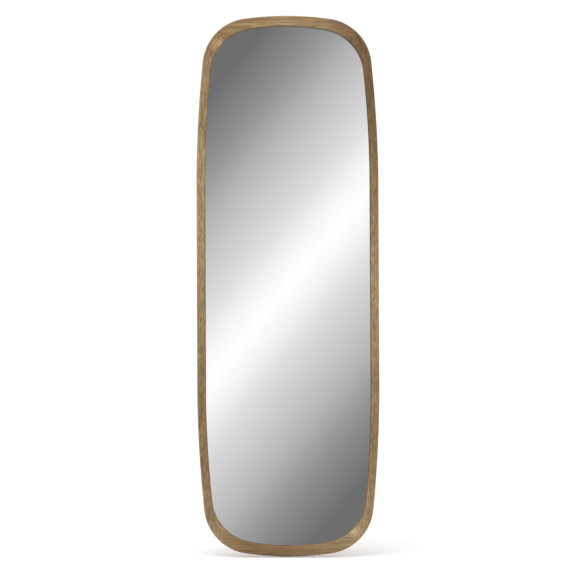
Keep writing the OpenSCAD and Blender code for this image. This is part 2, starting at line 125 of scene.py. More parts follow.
# %% [markdown]
# ## Working on one piece at a time
#
# Blender's operators act on everything that is selected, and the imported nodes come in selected.
# Each step below starts from a clean selection. A node's own mesh is never touched. Where a
# piece needs a softer shape, its mesh is copied to a new object, and the loose triangles of the
# copy are merged and flattened into clean faces, as one would before bevelling by hand.


# %% Select one piece
def only(piece):
    """Selects this piece and nothing else."""
    if bpy.context.object and bpy.context.object.mode != "OBJECT":
        bpy.ops.object.mode_set(mode="OBJECT")
    bpy.ops.object.select_all(action="DESELECT")
    piece.select_set(True)
    bpy.context.view_layer.objects.active = piece


# %% Copy a node and clean the copy
MERGE = 0.000005
FLAT_WITHIN = math.radians(0.4)


def copied(node, name):
    """A new piece with a clean copy of a node's mesh."""
    piece = bpy.data.objects.new(name, NODES[node].data.copy())
    bpy.context.scene.collection.objects.link(piece)
    piece.data.materials.clear()
    only(piece)
    bpy.ops.object.mode_set(mode="EDIT")
    bpy.ops.mesh.select_mode(type="EDGE")
    bpy.ops.mesh.select_all(action="SELECT")
    bpy.ops.mesh.customdata_custom_splitnormals_clear()
    bpy.ops.mesh.remove_doubles(threshold=MERGE)
    bpy.ops.mesh.dissolve_limited(angle_limit=FLAT_WITHIN)
    bpy.ops.object.mode_set(mode="OBJECT")
    print(name, "faces:", len(piece.data.polygons))
    return piece


# %% [markdown]
# ## Choosing edges by what lies on each side
#
# By hand one would click along the front edge of a board. In code an edge is chosen by its two
# faces: the front edges have the flat front on one side and a wall on the other. Which way that
# wall looks tells the outer edge from the edge beside the glass, and both from the mitre.


# %% Choose edges, and list the faces at each
def choose_edges(mesh, wanted):
    """Selects the edges for which wanted(edge) holds, and nothing else."""
    for part in (*mesh.polygons, *mesh.vertices):
        part.select = False
    for edge in mesh.edges:
        edge.select = wanted(edge)
    return sum(edge.select for edge in mesh.edges)


def face_pairs(mesh):
    """For each edge, the faces that meet at it."""
    faces = {tuple(sorted(edge.vertices)): [] for edge in mesh.edges}
    for face in mesh.polygons:
        for key in face.edge_keys:
            faces[tuple(sorted(key))].append(face)
    return faces


# %% Pick edges by their two faces, and bevel them
def pick_edges(piece, test):
    """Selects the edges for which test(edge middle, one face, other face) holds."""
    only(piece)
    mesh = piece.data
    faces = face_pairs(mesh)

    def wanted(edge):
        sides = faces[tuple(sorted(edge.vertices))]
        spot = sum((mesh.vertices[v].co for v in edge.vertices), Vector()) / 2
        return len(sides) == 2 and (test(spot, *sides) or test(spot, *sides[::-1]))

    chosen = choose_edges(mesh, wanted)
    bpy.ops.object.mode_set(mode="EDIT")
    bpy.ops.mesh.select_mode(type="EDGE")
    return chosen


def bevel_edges(piece, test, width, steps, profile=0.5):
    """Bevels the picked edges, and says how many there were."""
    count = pick_edges(piece, test)
    bpy.ops.mesh.bevel(offset=width, segments=steps, profile=profile, affect="EDGES")
    bpy.ops.object.mode_set(mode="OBJECT")
    return count


# %% [markdown]
# ## The four oak boards
#
# The frame is four solid oak boards, mitred at the corners. On the real one no edge is sharp:
# the outer edge has a small round-over, and the edge beside the glass is eased more generously,
# which catches a line of light. The boards could be drawn again with rounded sections, but then
# they might not fit the fixed frame. A bevel on those two edges of a copy does both and keeps
# the fit. To tell the two edges apart, each spot needs to know which way is away from the glass.
# That is read from the top rail, whose widest points are the ends of its mitres.

# %% Which way a wall looks from its part of the frame
CORNER_INSET = 0.1
rail_tip = max(NODES["top_rail"].data.vertices, key=lambda v: v.co.x).co
CORNER_X = rail_tip.x - CORNER_INSET
CORNER_UP = rail_tip.dot(UP) - MIDDLE - CORNER_INSET
print("corner centre in mm:", round(CORNER_X * 1000, 1), round(CORNER_UP * 1000, 1))


def outward(spot):
    """The direction away from the glass at a spot of the frame."""
    across, along = spot.x, spot.dot(UP) - MIDDLE
    across -= max(-CORNER_X, min(CORNER_X, across))
    along -= max(-CORNER_UP, min(CORNER_UP, along))
    return (Vector((across, 0, 0)) + UP * along).normalized()


# %% Test for a front edge
AWAY_FROM_GLASS = 1
TOWARDS_GLASS = -1
NEARLY_FRONT = 0.0005
FLAT_FRONT = 0.999
UPRIGHT_WALL = 0.1
SAME_WAY = 0.6


def front_edge(way):
    """A test for front edges whose wall looks this way."""

    def test(spot, one, other):
        if one.normal.dot(OUT) < FLAT_FRONT or abs(other.normal.dot(OUT)) > UPRIGHT_WALL:
            return False
        at_front = spot.dot(OUT) > FRONT - NEARLY_FRONT
        return at_front and other.normal.dot(outward(spot)) * way > SAME_WAY

    return test


# %% Soften the outer edge and the edge beside the glass
ROUND_OVER = 0.0042
SIGHT_EASE = 0.0075
SIGHT_PROFILE = 0.42
EDGE_STEPS = 5


def soften_board(node):
    """An oak board with its two front edges eased."""
    board = copied(node, node + "_oak")
    outer = bevel_edges(board, front_edge(AWAY_FROM_GLASS), ROUND_OVER, EDGE_STEPS)
    sight = bevel_edges(board, front_edge(TOWARDS_GLASS), SIGHT_EASE, EDGE_STEPS, SIGHT_PROFILE)
    print(board.name, "outer edges:", outer, "sight edges:", sight)
    return board


oak_boards = {node: soften_board(node) for node in BOARDS}

# %% [markdown]
# ## Marks for wear and painted light
#
# The eased edges are a little paler than the flats: partly the polish of hands and cloths, partly
# a painted highlight. The wall in the recess beside the glass is darker, as painted shade. Both
# could be painted by hand. Here each face is marked in two attributes, which the oak reads later,
# so the polish, highlight and shade land on the right faces at once. A weighted normal modifier
# keeps the wide flats flat where they meet a curved bevel.


# %% Mark the eased faces and the recess
EASED_SLOPES = (0.12, 0.985)


def mark_faces(piece, name, value):
    """Writes value(face) on every face of a piece, in an attribute."""
    marks = piece.data.attributes.new(name, "FLOAT", "FACE")
    for face in piece.data.polygons:
        marks.data[face.index].value = value(face)


def easing(face):
    """1 on faces that look neither straight out nor sideways, 0 on the rest."""
    least, most = EASED_SLOPES
    return 1.0 if least < face.normal.dot(OUT) < most else 0.0


def painted_recess_shade_mask(face):
    """How far a face looks towards the glass, from 0 to 1: the mask of the painted shade."""
    return max(0.0, -face.normal.dot(outward(face.center)))


# %% Smooth the boards and say what they ride on
def smooth(piece, angle=35):
    """Smooth shading that keeps the flats flat."""
    only(piece)
    bpy.ops.object.shade_smooth_by_angle(angle=math.radians(angle))
    bpy.ops.object.modifier_add(type="WEIGHTED_NORMAL")
    piece.modifiers[-1].keep_sharp = True
    bpy.ops.object.modifier_apply(modifier=piece.modifiers[-1].name)


# Two marks: eased faces, for polish and a painted highlight, and the recess, for painted shade.
for node, board in oak_boards.items():
    mark_faces(board, "eased", easing)
    mark_faces(board, "recess", painted_recess_shade_mask)
    smooth(board)
    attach(board, "mirror")
    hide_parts(node)
print("oak boards:", len(oak_boards))

# %% [markdown]
# ## Felt pads, rubber feet and clear bumpers
#
# These small soft parts have moulded or cut edges that are never sharp. They could be modelled
# from new cylinders and blocks, but their places and slants are already right in the model. So
# each is a copy of its node with the rims rounded. Rounding only takes material away, so nothing
# grows.


# %% Round the rims of the small soft parts
SHARP = math.radians(50)
RIM_STEPS = 3


def sharp_edge(spot, one, other):
    """A test for edges where two faces turn sharply."""
    return one.normal.angle(other.normal) > SHARP


def rounded(node, name, width):
    """A copy of a node with every sharp edge rounded to this width."""
    piece = copied(node, name)
    count = bevel_edges(piece, sharp_edge, width, RIM_STEPS)
    smooth(piece, 40)
    print(name, "rims:", count)
    return piece


felt_pads = rounded("fold_pads", "felt_pads", 0.0007)
clear_bumpers = rounded("floor_bumpers", "clear_bumpers", 0.0012)
left_rubber = rounded("left_foot", "left_rubber_foot", 0.0008)
right_rubber = rounded("right_foot", "right_rubber_foot", 0.0008)

# %% Put each on its body, and hide the node it stands for
SOFT_PARTS = [
    (felt_pads, "mirror", "fold_pads", "felt"),
    (clear_bumpers, "mirror", "floor_bumpers", "clear_bumper"),
    (left_rubber, "easel", "left_foot", "rubber"),
    (right_rubber, "easel", "right_foot", "rubber"),
]
for piece, body, node, slot in SOFT_PARTS:
    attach(piece, body)
    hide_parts(node)
print("soft parts:", len(SOFT_PARTS))

# %% [markdown]
# ## The restraint strap
#
# A length of cotton tape stops the easel from sliding open. It is clamped flat to a block on the
# back of the mirror and to the lower rail of the easel, and it is tight between them when the
# mirror stands. One long tape would tear when the easel folds. So it is built as three pieces: a
# tab under each clamp that stays with its own body, and the run between, which rides on the
# mirror. The ends come from the strap's own mesh in the imported model.

# %% Find the strap's two ends and its thickness
strap_spots = [v.co for v in NODES["restraint_strap"].data.vertices]
near_bottom = min(strap_spots, key=lambda p: p.z)
far_top = max(strap_spots, key=lambda p: p.z)
TAPE_W = 2 * max(p.x for p in strap_spots)
side = sorted({(round(p.y, 6), round(p.z, 6)) for p in strap_spots}, key=lambda p: p[0])
print("tape width in mm:", round(TAPE_W * 1000, 1))
print("side view in mm:", [(round(y * 1000, 1), round(z * 1000, 1)) for y, z in side])


# %% Name the eight corners of its side view
def at(y, z):
    """A spot in the strap's middle plane."""
    return Vector((0, y, z))


def middle(one, other):
    """The spot halfway between two corners of the side view."""
    return at((one[0] + other[0]) / 2, (one[1] + other[1]) / 2)


mirror_side = sorted(side[:4], key=lambda p: p[1])
easel_side = sorted(side[4:], key=lambda p: p[1])
print("on the block:", mirror_side)
print("on the rail:", easel_side)


# %% [markdown]
# A piece of tape starts as a block that is stretched between its two ends. Its long edges are
# bevelled, because woven selvedges are round, and then cut many times along the length. A curve
# with a flat profile would do too, but a block keeps exact control of width and thickness.

# %% A block along the strap
SELVEDGE = 0.28


def block_along(name, start, end, thick):
    """A block of the tape's width between two spots of the strap's plane."""
    run = end - start
    bpy.ops.object.select_all(action="DESELECT")
    bpy.ops.mesh.primitive_cube_add(size=1, location=(start + end) / 2)
    piece = bpy.context.object
    piece.name = name
    piece.scale = (TAPE_W, run.length, thick)
    piece.rotation_euler.x = math.atan2(run.z, run.y)
    bpy.ops.object.transform_apply(location=True, rotation=True, scale=True)
    return piece


# %% Round its selvedges, and cut it along its length
ALONG_TAPE = 0.9


def tape(name, start, end, thick, cuts):
    """A flat tape along a line in the strap's plane, with worn-round selvedges."""
    piece = block_along(name, start, end, thick)
    along = (end - start).normalized()

    def lengthwise(edge):
        a, b = (piece.data.vertices[v].co for v in edge.vertices)
        return abs((b - a).normalized().dot(along)) > ALONG_TAPE

    choose_edges(piece.data, lengthwise)
    bpy.ops.object.mode_set(mode="EDIT")
    bpy.ops.mesh.select_mode(type="EDGE")
    bpy.ops.mesh.bevel(offset=thick * SELVEDGE, segments=2, affect="EDGES")
    bpy.ops.object.mode_set(mode="OBJECT")
    # The bevel leaves its new faces selected, so those are cut across as well as along.
    for edge in piece.data.edges:
        edge.select = lengthwise(edge)
    bpy.ops.object.mode_set(mode="EDIT")
    bpy.ops.mesh.subdivide(number_cuts=cuts)
    bpy.ops.object.mode_set(mode="OBJECT")
    bpy.ops.object.shade_smooth_by_angle(angle=math.radians(40))
    return piece


# %% Lay the weave along the tape
UV_PER_METRE = 10


def lay_weave(piece, start, end):
    """A UV map in tenths of a metre: across the tape, and along it from its start."""
    along = (end - start).normalized()
    weave = piece.data.uv_layers.active or piece.data.uv_layers.new(name="weave")
    for loop in piece.data.loops:
        spot = piece.data.vertices[loop.vertex_index].co
        across = spot.x * UV_PER_METRE + 0.5
        weave.data[loop.index].uv = (across, (spot - start).dot(along) * UV_PER_METRE)


# %% [markdown]
# Where two pieces of the strap meet, faces in one plane would flicker. So each piece is a little
# thinner than the one before. The run gets many cuts, the tabs only a few.

# %% Make the three pieces of the strap
RUN_CUTS, TAB_CUTS = 60, 6
RUN_THINNER, TAB_THINNER = 0.96, 0.9
block_low, block_high = middle(*mirror_side[:2]), middle(*mirror_side[2:])
rail_low, rail_high = middle(*easel_side[:2]), middle(*easel_side[2:])
thick = (at(*mirror_side[0]) - at(*mirror_side[1])).length
PIECES = [("strap_block_tab", block_low, block_high, thick, TAB_CUTS),
          ("strap_run", block_high, rail_low, thick * RUN_THINNER, RUN_CUTS),
          ("strap_rail_tab", rail_low, rail_high, thick * TAB_THINNER, TAB_CUTS)]
strap = {}
for name, start, end, depth, cuts in PIECES:
    strap[name] = tape(name, start, end, depth, cuts)
    lay_weave(strap[name], start, end)
print("tape thickness in mm:", round(thick * 1000, 2))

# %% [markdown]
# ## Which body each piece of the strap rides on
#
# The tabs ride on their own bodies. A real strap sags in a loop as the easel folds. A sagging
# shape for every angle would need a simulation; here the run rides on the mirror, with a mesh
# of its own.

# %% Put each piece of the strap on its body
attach(strap["strap_block_tab"], "mirror")
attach(strap["strap_rail_tab"], "easel")
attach(strap["strap_run"], "mirror")
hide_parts("restraint_strap")
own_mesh(strap["strap_run"])
print("strap pieces:", sorted(strap))

# %% [markdown]
# ## How a finish is built
#
# Every finish is a small tree of nodes: a pattern in the piece's own coordinates, stretched
# along the grain or the weave, sorted into a few tones by a colour ramp, and reused for
# roughness and bump so that shine and relief agree with the colour. The trees could be wired
# node by node, as in the shader editor. A few helpers keep them short enough to read. Colours
# are given as the eye sees them and turned into light values.


# %% Colours
def tone(r, g, b, share=(1.0, 1.0, 1.0)):
    """A colour as the eye sees it, 0 to 255, as light values, each times its share."""
    parts = [c / 255 for c in (r, g, b)]
    light = [p / 12.92 if p <= 0.04045 else ((p + 0.055) / 1.055) ** 2.4 for p in parts]
    return (*(v * s for v, s in zip(light, share)), 1.0)


def grey(value):
    """A grey of this light value."""
    return (value, value, value, 1)


# %% A material with short ways to add nodes
MIX_COLOURS = (6, 7)
MIX_RESULT = 2


class Finish:
    """A material with its shader, and short ways to add nodes to it."""

    def __init__(self, name):
        self.material = bpy.data.materials.new(name)
        self.material.use_nodes = True
        self.tree = self.material.node_tree
        self.shader = self.tree.nodes["Principled BSDF"]
        self.coords = self.tree.nodes.new("ShaderNodeTexCoord")

    def node(self, kind, **inputs):
        """A new node, with its inputs set by name."""
        made = self.tree.nodes.new(kind)
        for key, value in inputs.items():
            self.feed(made.inputs[key.replace("_", " ")], value)
        return made

    def feed(self, socket, value):
        """Links another node's output to a socket, or sets a constant."""
        if isinstance(value, bpy.types.NodeSocket):
            self.tree.links.new(value, socket)
        else:
            socket.default_value = value

    def mapped(self, scale, turn=(0, 0, 0), source="Object"):
        """Coordinates, turned and stretched."""
        made = self.node("ShaderNodeMapping", Vector=self.coords.outputs[source])
        made.inputs["Rotation"].default_value = turn
        made.inputs["Scale"].default_value = scale
        return made.outputs["Vector"]

    def noise(self, where, scale, detail=4.0, rough=0.5, twist=0.0):
        """A noise pattern from 0 to 1."""
        made = self.node("ShaderNodeTexNoise", Vector=where, Scale=scale, Detail=detail,
                         Roughness=rough, Distortion=twist)
        return made.outputs["Fac"]

    def ramp(self, amount, stops):
        """A colour ramp through these places and colours."""
        made = self.node("ShaderNodeValToRGB", Fac=amount)
        bar = made.color_ramp
        while len(bar.elements) < len(stops):
            bar.elements.new(0.5)
        for spot, (place, colour) in zip(bar.elements, stops):
            spot.position = place
            spot.color = colour if len(colour) == 4 else (*colour, 1)
        return made.outputs["Color"]

    def span(self, amount, low, high, start=0.0, end=1.0):
        """A value from low to high as the amount goes from start to end."""
        made = self.node("ShaderNodeMapRange", Value=amount)
        made.inputs["From Min"].default_value = start
        made.inputs["From Max"].default_value = end
        made.inputs["To Min"].default_value = low
        made.inputs["To Max"].default_value = high
        return made.outputs["Result"]

    def tint(self, one, other, amount):
        """A colour multiplied by another, as far as the amount says."""
        made = self.tree.nodes.new("ShaderNodeMix")
        made.data_type = "RGBA"
        made.blend_type = "MULTIPLY"
        self.feed(made.inputs["Factor"], amount)
        for index, colour in zip(MIX_COLOURS, (one, other)):
            self.feed(made.inputs[index], colour)
        return made.outputs[MIX_RESULT]

    def combine(self, one, other, how="ADD"):
        """Two values added, or combined in another way."""
        made = self.tree.nodes.new("ShaderNodeMath")
        made.operation = how
        self.feed(made.inputs[0], one)
        self.feed(made.inputs[1], other)
        return made.outputs[0]

    def relief(self, height, depth, strength=1.0):
        """Bump from a height pattern."""
        made = self.node("ShaderNodeBump", Height=height, Distance=depth, Strength=strength)
        self.tree.links.new(made.outputs["Normal"], self.shader.inputs["Normal"])

    def mark(self, name):
        """A value that is stored on the faces of the piece."""
        made = self.node("ShaderNodeAttribute")
        made.attribute_name = name
        return made.outputs["Fac"]

    def set(self, **inputs):
        """Sets or links sockets of the shader by name."""
        for key, value in inputs.items():
            self.feed(self.shader.inputs[key.replace("_", " ")], value)


# %% [markdown]
# ## Oak
#
# Oak has straight, slightly wandering streaks along the board, fine open pores that read as
# short dark dashes, and slow changes from sapwood to heartwood. A wood texture node could draw
# rings, but boards sawn along the trunk show long lines. A noise that is stretched along the
# grain gives those, and each board gets it turned to its own length: up the stiles and across
# the rails. Each board's seed shifts the pattern, so that no two boards match.


# %% The patterns of one oak board
LONG, VERY_LONG = 0.045, 0.012


def stretched(lengthways, share):
    """A scale that draws a pattern out along z or x."""
    return (1, 1, share) if lengthways == "z" else (share, 1, 1)


def oak_patterns(f, lengthways, seed):
    """Streaks, lines, bands, fine lines and pores, all stretched along the grain."""
    along = f.mapped(stretched(lengthways, LONG), (LEAN, 0, 0))
    slow = f.mapped(stretched(lengthways, VERY_LONG), (LEAN, 0, 0))
    shifted = f.node("ShaderNodeVectorMath", Vector=along)
    shifted.inputs[1].default_value = (seed, seed * 1.7, seed * 0.6)
    grain_at = shifted.outputs["Vector"]
    return {
        "streaks": f.noise(grain_at, 260.0, 6.0, 0.62, 0.35),
        "lines": f.noise(slow, 400.0, 2.0, 0.5, 0.15),
        "bands": f.noise(slow, 75.0 + seed, 3.0, 0.5, 0.8),
        "fine": f.noise(grain_at, 620.0, 3.0, 0.6),
        "pores": f.noise(grain_at, 1500.0, 2.0, 0.5),
    }


# %% [markdown]
# Each pattern becomes a ramp of factors around 1, and the factors are multiplied onto the
# board's own tones. That way every pattern can be made stronger or weaker by itself.

# %% Lay the patterns over the board's tones
OAK_LAYERS = [
    ("streaks", 0.85, [(0.30, grey(0.55)), (0.43, grey(0.86)), (0.56, grey(1.12)),
                       (0.70, grey(1.48))]),
    ("lines", 0.65, [(0.36, (0.66, 0.62, 0.55)), (0.5, grey(1.0)), (0.64, grey(1.34))]),
    ("bands", 0.85, [(0.32, (0.80, 0.76, 0.70)), (0.5, grey(1.0)), (0.68, (1.14, 1.15, 1.17))]),
    ("fine", 0.7, [(0.30, grey(0.72)), (0.68, grey(1.26))]),
]


def oak_layers(f, colour, patterns):
    """A colour with the streaks, lines and bands of the wood over it."""
    for pattern, strength, stops in OAK_LAYERS:
        colour = f.tint(colour, f.ramp(patterns[pattern], stops), strength)
    return colour


# %% [markdown]
# Beside the ends of some mitres the oak has painted highlights, as pale patches. Each patch
# is a distance from a spot on the front of the board, faded out over a few centimetres.


# %% Painted highlights beside the mitres
def oak_painted_highlight(f, colour, face_on, glow):
    """A colour with a painted highlight, a pale patch: across, up, reach, and how much lighter."""
    across, up, width, gain = glow
    flat = f.node("ShaderNodeVectorMath", Vector=face_on.outputs["Vector"])
    flat.operation = "DISTANCE"
    flat.inputs[1].default_value = (across, 0.0, MIDDLE + up)
    # The pale colour of the painted highlight at its middle.
    pale = (gain, 1.03 * gain, 1.12 * gain)
    fade = f.ramp(flat.outputs["Value"], [(0.0, pale), (width, grey(1.0))])
    return f.tint(colour, fade, 1.0)


# %% [markdown]
# Last come the wear and the painted light, from the marks on the faces: paler on the eased edges,
# partly polish and partly painted highlight, and painted shade in the recess beside the glass.

# %% Wear and painted light on the oak
# Eased edges paler, part polish and part painted highlight; the recess darker, painted shade.
EASED_POLISH_AND_HIGHLIGHT = (1.16, 1.15, 1.12, 1)
RECESS_PAINTED_SHADE = [(0.3, grey(1.0)), (0.7, (0.84, 0.81, 0.76)), (0.97, (0.44, 0.39, 0.33))]


def oak_wear_and_painted_light(f, colour):
    """A colour with polish and painted highlight on the edges, and painted shade in the recess."""
    # Polish and a painted highlight on the eased faces, then painted shade in the recess.
    polish_and_highlight = f.combine(f.mark("eased"), 0.8, "MULTIPLY")
    worn = f.tint(colour, EASED_POLISH_AND_HIGHLIGHT, polish_and_highlight)
    return f.tint(worn, f.ramp(f.mark("recess"), RECESS_PAINTED_SHADE), 1.0)


# %% Put one board's oak together
OAK_LIGHT = (0.66, 0.62, 0.52)


def oak(name, lengthways, tones, seed, painted_highlights):
    """Oiled oak with its grain along z (stiles) or x (rails), and tones along the board."""
    f = Finish(name)
    patterns = oak_patterns(f, lengthways, seed)
    place = f.node("ShaderNodeSeparateXYZ", Vector=f.mapped((1, 1, 1), (LEAN, 0, 0)))
    low, high, axis = (LOW, HIGH, "Z") if lengthways == "z" else (-HALF_WIDTH, HALF_WIDTH, "X")
    share = f.span(place.outputs[axis], 0.0, 1.0, low, high)
    colour = f.ramp(share, [(p, tone(*c, OAK_LIGHT)) for p, c in tones])
    colour = oak_layers(f, colour, patterns)
    face_on = f.node("ShaderNodeCombineXYZ", X=place.outputs["X"], Z=place.outputs["Z"])
    # Painted highlights beside the mitres.
    for glow in painted_highlights:
        colour = oak_painted_highlight(f, colour, face_on, glow)
    holes = f.ramp(patterns["pores"], [(0.30, grey(0.55)), (0.42, grey(1.0))])
    colour = f.tint(colour, holes, 0.55)
    rough = f.span(patterns["streaks"], 0.62, 0.46, 0.3, 0.7)
    f.set(Base_Color=oak_wear_and_painted_light(f, colour), Roughness=rough, Specular_IOR_Level=0.35)
    f.relief(f.combine(f.combine(patterns["streaks"], 0.6, "MULTIPLY"), holes), 0.0004, 0.5)
    return f.material


# %% [markdown]
# Real boards change tone along their length. Each board has its own list of tones, from its
# lower or left end to the other. The right stile is darkest towards its top, where it was cut
# nearer the heart of the tree.

# %% The tones along each board
OAK_TONES = {
    "left_stile": [(0.03, (153, 129, 97)), (0.14, (143, 117, 83)), (0.3, (142, 117, 83)),
                   (0.5, (160, 136, 103)), (0.74, (172, 149, 116)), (0.86, (156, 132, 99)),
                   (0.97, (148, 122, 88))],
    "right_stile": [(0.03, (166, 144, 113)), (0.2, (147, 121, 87)), (0.5, (168, 145, 113)),
                    (0.74, (138, 112, 77)), (0.86, (119, 95, 64)), (0.97, (120, 95, 64))],
    "top_rail": [(0.15, (150, 124, 90)), (0.5, (165, 140, 107)), (0.70, (158, 133, 101)),
                 (0.88, (121, 96, 66))],
    "bottom_rail": [(0.12, (158, 135, 103)), (0.3, (130, 103, 66)), (0.5, (147, 120, 81)),
                    (0.88, (165, 143, 112))],
}

# %% Give each board its oak
# Where each painted highlight lies: across, up, reach, and how much lighter.
TOP_LEFT = (-0.230, 0.803, 0.028, 1.7)
LOW_RIGHT = (0.218, -0.822, 0.026, 1.75)
LOW_LEFT = (-0.246, -0.820, 0.05, 1.2)
OAK_HIGHLIGHT_SPOTS = {
    "left_stile": [TOP_LEFT, LOW_LEFT],
    "right_stile": [LOW_RIGHT],
    "top_rail": [TOP_LEFT],
    "bottom_rail": [LOW_RIGHT, LOW_LEFT],
}
for count, (node, board) in enumerate(oak_boards.items()):
    way = "z" if "stile" in node else "x"
    seed = 3.1 + 2.3 * count
    wood = oak("oak_" + node, way, OAK_TONES[node], seed, OAK_HIGHLIGHT_SPOTS[node])
    board.data.materials.append(wood)
print("oak finishes:", len(oak_boards))

# %% [markdown]
# ## Mirror glass
#
# A mirror is clear glass with silver behind it, and it is seen through what it reflects. Glass
# over a silver sheet would be the full way to build it, but it gives a second, faint reflection
# and more noise. So the finish is a polished metal with a trace of haze, which keeps the
# reflection crisp, and a very faint change in the silvering.


# %% Silvered glass
silver = Finish("silvered_glass")
haze = silver.noise(silver.mapped((1, 1, 1)), 5.0, 3.0)
silver.set(Base_Color=silver.ramp(haze, [(0.3, grey(0.925)), (0.7, grey(0.94))]),
           Roughness=silver.span(haze, 0.004, 0.014, 0.3, 0.7), Metallic=1.0)
print("made", silver.material.name)

# %% [markdown]
# ## Easel timber
#
# The easel, the batten and the block are planed softwood, paler than the oak, with wide soft
# bands and darker latewood lines along the grain. One recipe serves upright and level pieces;
# only the direction of the grain changes. The legs splay backwards, so their grain is turned by
# the angle that is measured on a leg's box. About a tenth of that box's depth is the leg's own
# thickness, and the rest is the splay.


# %% Planed softwood
SOFTWOOD_LONG = 0.03


def softwood(name, lengthways, turn, base=(201, 170, 126)):
    """Pale planed timber with latewood lines."""
    f = Finish(name)
    along = f.mapped(stretched(lengthways, SOFTWOOD_LONG), (turn, 0, 0))
    lines = f.noise(along, 160.0, 3.0, 0.45, 1.1)
    fibres = f.noise(along, 1100.0, 3.0, 0.6)
    clouds = f.noise(f.mapped((1, 1, 1)), 9.0, 3.0)
    r, g, b = base
    wood = f.ramp(lines, [(0.30, tone(r, g, b)), (0.48, tone(r * 0.97, g * 0.95, b * 0.90)),
                          (0.56, tone(r * 0.84, g * 0.76, b * 0.66)),
                          (0.64, tone(r * 0.98, g * 0.97, b * 0.95))])
    wood = f.tint(wood, f.ramp(fibres, [(0.3, grey(0.86)), (0.7, grey(1.06))]), 0.8)
    wood = f.tint(wood, f.ramp(clouds, [(0.3, (0.93, 0.90, 0.86)), (0.7, grey(1.04))]), 0.9)
    f.set(Base_Color=wood, Roughness=f.span(lines, 0.58, 0.44, 0.3, 0.7), Specular_IOR_Level=0.35)
    f.relief(f.combine(lines, fibres), 0.0003, 0.4)
    return f.material


SPLAY_SHARE = 0.9
leg_low, leg_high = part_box("left_leg")
LEG_TURN = -math.atan2((leg_high.y - leg_low.y) * SPLAY_SHARE, leg_high.z - leg_low.z)
upright_timber = softwood("upright_timber", "z", LEG_TURN)
level_timber = softwood("level_timber", "x", 0.0)
batten_timber = softwood("batten_timber", "x", LEAN)
key_timber = softwood("key_timber", "x", LEAN, (120, 84, 52))
print("leg angle in degrees:", round(math.degrees(LEG_TURN), 1))

# %% [markdown]
# ## Fibreboard, foam and film
#
# The back is closed with brown fibreboard: pressed wood fibre, smooth, with faint fibres and a
# mottled tone. A fine noise gives the fibres and a slow one the mottling. Foam and safety film
# lie between the board and the glass. They are hardly seen, but an edge or a view under the back
# may show them, so each has its own finish: cells for the foam, and wisps for the film.


# %% Fibreboard
fibre = Finish("fibreboard")
short = fibre.noise(fibre.mapped((1, 1, 0.35), (LEAN, 0, 0)), 420.0, 5.0, 0.65, 0.6)
mottle = fibre.noise(fibre.mapped((1, 1, 1)), 14.0, 4.0, 0.55)
brown = fibre.ramp(short, [(0.25, tone(122, 92, 62)), (0.5, tone(146, 113, 79)),
                           (0.75, tone(168, 135, 99))])
brown = fibre.tint(brown, fibre.ramp(mottle, [(0.3, (0.86, 0.85, 0.83)), (0.7, grey(1.05))]), 0.9)
fibre.set(Base_Color=brown, Roughness=fibre.span(short, 0.72, 0.55, 0.3, 0.7),
          Specular_IOR_Level=0.3)
fibre.relief(short, 0.0002, 0.35)
print("made", fibre.material.name)

# %% Foam and film
foam = Finish("closed_cell_foam")
cells = foam.node("ShaderNodeTexVoronoi", Vector=foam.mapped((1, 1, 1)), Scale=900.0)
foam.set(Base_Color=foam.ramp(cells.outputs["Distance"], [(0.0, grey(0.66)), (0.6, grey(0.84))]),
         Roughness=foam.span(cells.outputs["Distance"], 0.85, 0.65))
foam.relief(cells.outputs["Distance"], 0.0003, 0.5)
film = Finish("safety_film")
wisps = film.noise(film.mapped((1, 1, 1)), 60.0, 5.0, 0.6)
film.set(Base_Color=film.ramp(wisps, [(0.3, grey(0.42)), (0.7, grey(0.52))]),
         Roughness=film.span(wisps, 0.35, 0.5))
film.relief(wisps, 0.0001, 0.3)
print("made", foam.material.name, "and", film.material.name)

# %% [markdown]
# ## Plated steel
#
# Hinges, clamps, hanging plates and rings are zinc-plated steel with a satin look: a bright
# grey with soft cloudy patches, fine scratches, and dull spots where hands and tools touched it.
# One metal for all would look moulded in one piece. So one recipe makes four, each with its own
# greys and its own way of scratching. The scratches are a noise that is stretched one way, the
# clouds a slow noise.


# %% Satin zinc plating
def plated(name, light, dark, scratch_way=(1, 0.04, 1), rough=(0.28, 0.46)):
    """Zinc plating between two greys, with scratches one way."""
    f = Finish(name)
    clouds = f.noise(f.mapped((1, 1, 1)), 120.0, 4.0, 0.6)
    lines = f.noise(f.mapped(scratch_way), 2600.0, 3.0, 0.6)
    colour = f.ramp(clouds, [(0.3, tone(*dark)), (0.7, tone(*light))])
    colour = f.tint(colour, f.ramp(lines, [(0.3, grey(0.86)), (0.65, grey(1.04))]), 0.7)
    f.set(Base_Color=colour, Metallic=0.92, Roughness=f.span(clouds, rough[1], rough[0], 0.3, 0.7))
    f.relief(lines, 0.00006, 0.5)
    return f.material


hinge_steel = plated("hinge_steel", (196, 195, 190), (158, 157, 152))
plate_steel = plated("plate_steel", (202, 202, 200), (166, 166, 163), (0.04, 1, 1))
screw_steel = plated("screw_steel", (208, 208, 204), (150, 149, 145), (1, 1, 1), (0.24, 0.4))
ring_steel = plated("ring_steel", (206, 206, 204), (168, 168, 165), (1, 1, 1), (0.2, 0.34))
print("plated:", [m.name for m in (hinge_steel, plate_steel, screw_steel, ring_steel)])

# %% [markdown]
# ## Rubber
#
# The feet are dark moulded rubber with fine ribs and a little dust. The ribs could be cut into
# the mesh, but they are only 2 mm apart and a third of a millimetre deep, so a wave pattern in
# the bump is enough. A noise lays the dust.

